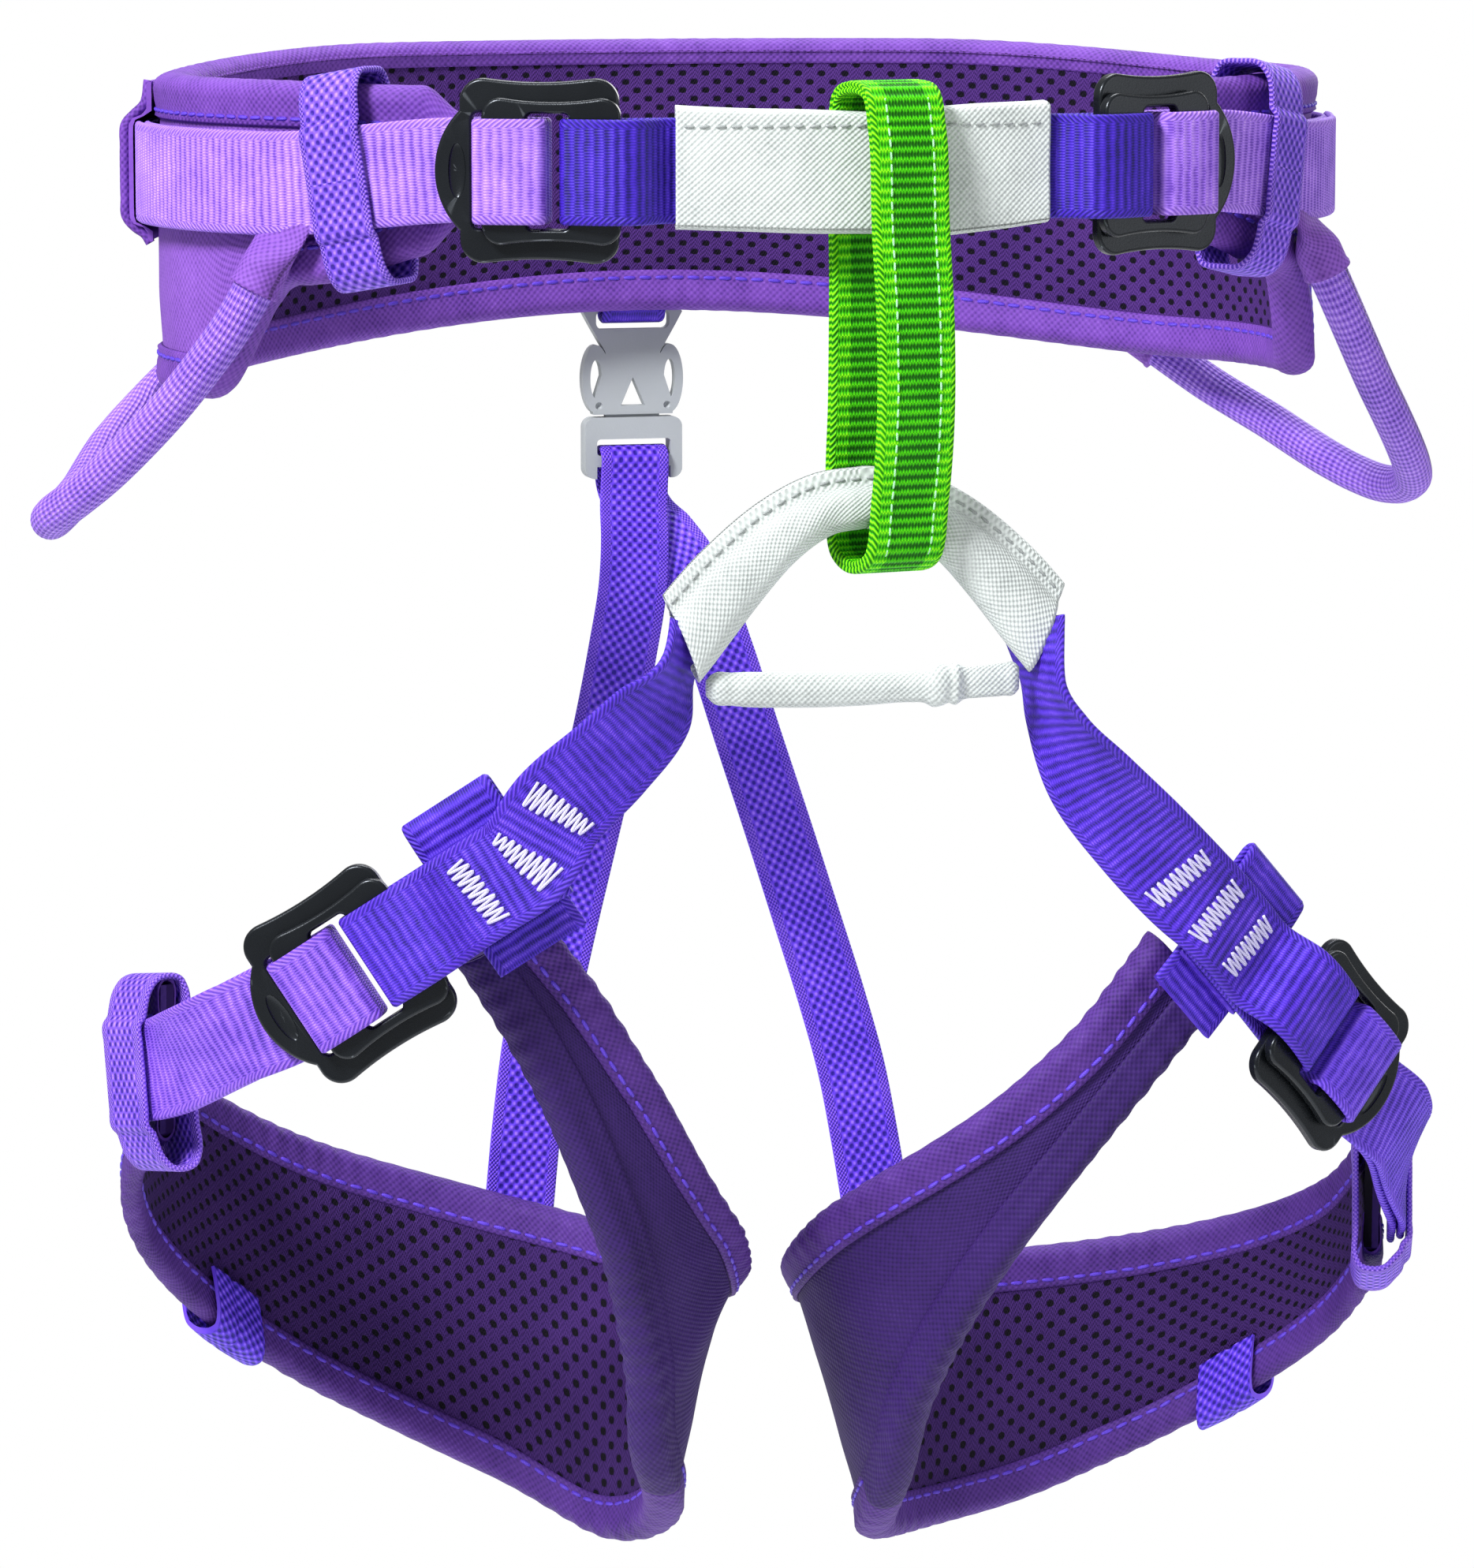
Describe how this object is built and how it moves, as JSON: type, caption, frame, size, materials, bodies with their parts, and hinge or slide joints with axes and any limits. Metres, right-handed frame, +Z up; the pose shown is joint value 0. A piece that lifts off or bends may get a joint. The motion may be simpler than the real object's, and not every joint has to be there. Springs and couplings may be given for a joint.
{
  "type": "climbing harness",
  "caption": "Child-size climbing sit harness in worn shape: padded waist belt, adjustable leg loops, belay loop, protected tie-in points and elastic rear risers.",
  "frame": {"origin": "centre of the waist ring, at the mid height of the tie-in webbing in front", "axes": "+Z up along the wearer, -Y to the wearer's front, +X to the right when facing the harness"},
  "size_m": [0.2928, 0.2021, 0.3149],
  "materials": {
    "webbing": "ribbed woven",
    "elastic": "basket woven elastic",
    "mesh_liner": "open knit mesh",
    "pad_foam": "closed-cell foam",
    "shell_fabric": "plain woven",
    "binding_fabric": "plain woven",
    "belay_webbing": "ribbed woven",
    "sleeve_textile": "plain woven",
    "gear_sleeve": "braided",
    "gear_core_plastic": "moulded",
    "buckle_metal": "black anodised, satin",
    "buckle_plastic": "moulded"
  },
  "bodies": {
    "waist": {"rear_loop": "webbing", "tie_in_sleeve": "sleeve_textile", "tie_in_webbing": "webbing", "waist_buckle_left_base": "buckle_metal", "waist_buckle_right_base": "buckle_metal", "waist_keeper_left": "elastic", "waist_keeper_right": "elastic", "waist_pad_binding": "binding_fabric", "waist_pad_foam": "pad_foam", "waist_pad_liner": "mesh_liner", "waist_pad_shell": "shell_fabric", "waist_webbing": "webbing", "waist_webbing_cover": "binding_fabric"},
    "waist_slider_left": {"waist_buckle_left_slider": "buckle_metal"},
    "waist_slider_right": {"waist_buckle_right_slider": "buckle_metal"},
    "gear_left": {"gear_loop_sleeve_left": "gear_sleeve", "gear_loop_core_left": "gear_core_plastic"},
    "gear_right": {"gear_loop_sleeve_right": "gear_sleeve", "gear_loop_core_right": "gear_core_plastic"},
    "belay": {"belay_loop": "belay_webbing"},
    "leg_loops": {"leg_adjusting_strap_left": "webbing", "leg_adjusting_strap_right": "webbing", "leg_buckle_left_base": "buckle_metal", "leg_buckle_right_base": "buckle_metal", "leg_cross_loop_left": "webbing", "leg_cross_loop_right": "webbing", "leg_front_strap_left": "webbing", "leg_front_strap_right": "webbing", "leg_keeper_left": "elastic", "leg_keeper_right": "elastic", "leg_pad_left_binding": "binding_fabric", "leg_pad_left_foam": "pad_foam", "leg_pad_left_liner": "mesh_liner", "leg_pad_left_shell": "shell_fabric", "leg_pad_right_binding": "binding_fabric", "leg_pad_right_foam": "pad_foam", "leg_pad_right_liner": "mesh_liner", "leg_pad_right_shell": "shell_fabric", "leg_tail_keeper_left": "elastic", "leg_tail_keeper_right": "elastic", "lower_tie_in_sleeve": "sleeve_textile", "lower_tie_in_webbing": "webbing", "tie_in_retainer": "sleeve_textile"},
    "leg_slider_left": {"leg_buckle_left_slider": "buckle_metal"},
    "leg_slider_right": {"leg_buckle_right_slider": "buckle_metal"},
    "rear_upper": {"rear_buckle_upper": "buckle_plastic"},
    "rear_lower": {"rear_buckle_lower": "buckle_plastic", "riser": "elastic"}
  },
  "joints": [
    {"name": "waist_slider_left_slide", "type": "slide", "parent": "waist", "child": "waist_slider_left", "axis": [0.9201, -0.3918, 0], "range_m": [0, 0.002]},
    {"name": "waist_slider_right_slide", "type": "slide", "parent": "waist", "child": "waist_slider_right", "axis": [-0.9201, -0.3918, 0], "range_m": [0, 0.002]},
    {"name": "gear_left_lift", "type": "hinge", "parent": "waist", "child": "gear_left", "pos_m": [-0.1056, 0.0033, -0.032], "axis": [0.0394, 0.9709, -0.2363], "range_deg": [0, 35]},
    {"name": "gear_right_lift", "type": "hinge", "parent": "waist", "child": "gear_right", "pos_m": [0.1056, 0.0033, -0.032], "axis": [0.0394, -0.9709, 0.2363], "range_deg": [0, 35]},
    {"name": "leg_hang", "type": "hinge", "parent": "belay", "child": "leg_loops", "pos_m": [0, -0.09135, -0.0624], "axis": [1, 0, 0], "range_deg": [-4, 4]},
    {"name": "belay_swing", "type": "hinge", "parent": "waist", "child": "belay", "pos_m": [0.004, -0.09135, 0], "axis": [1, 0, 0], "range_deg": [-4, 4]},
    {"name": "leg_slider_left_slide", "type": "slide", "parent": "leg_loops", "child": "leg_slider_left", "axis": [0.7754, -0.3103, 0.5499], "range_m": [0, 0.002]},
    {"name": "leg_slider_right_slide", "type": "slide", "parent": "leg_loops", "child": "leg_slider_right", "axis": [-0.6526, -0.2911, 0.6996], "range_m": [0, 0.002]},
    {"name": "rear_swing", "type": "hinge", "parent": "waist", "child": "rear_upper", "pos_m": [0, 0.0919, -0.0377], "axis": [1, 0, 0], "range_deg": [-2, 2]},
    {"name": "rear_release", "type": "slide", "parent": "rear_upper", "child": "rear_lower", "axis": [0, 0, -1], "range_m": [0, 0.006]}
  ],
  "couplings": [
    {"joint": "belay_swing", "follows": "leg_hang", "ratio": -1},
    {"joint": "rear_swing", "follows": "leg_hang", "ratio": -0.34}
  ]
}
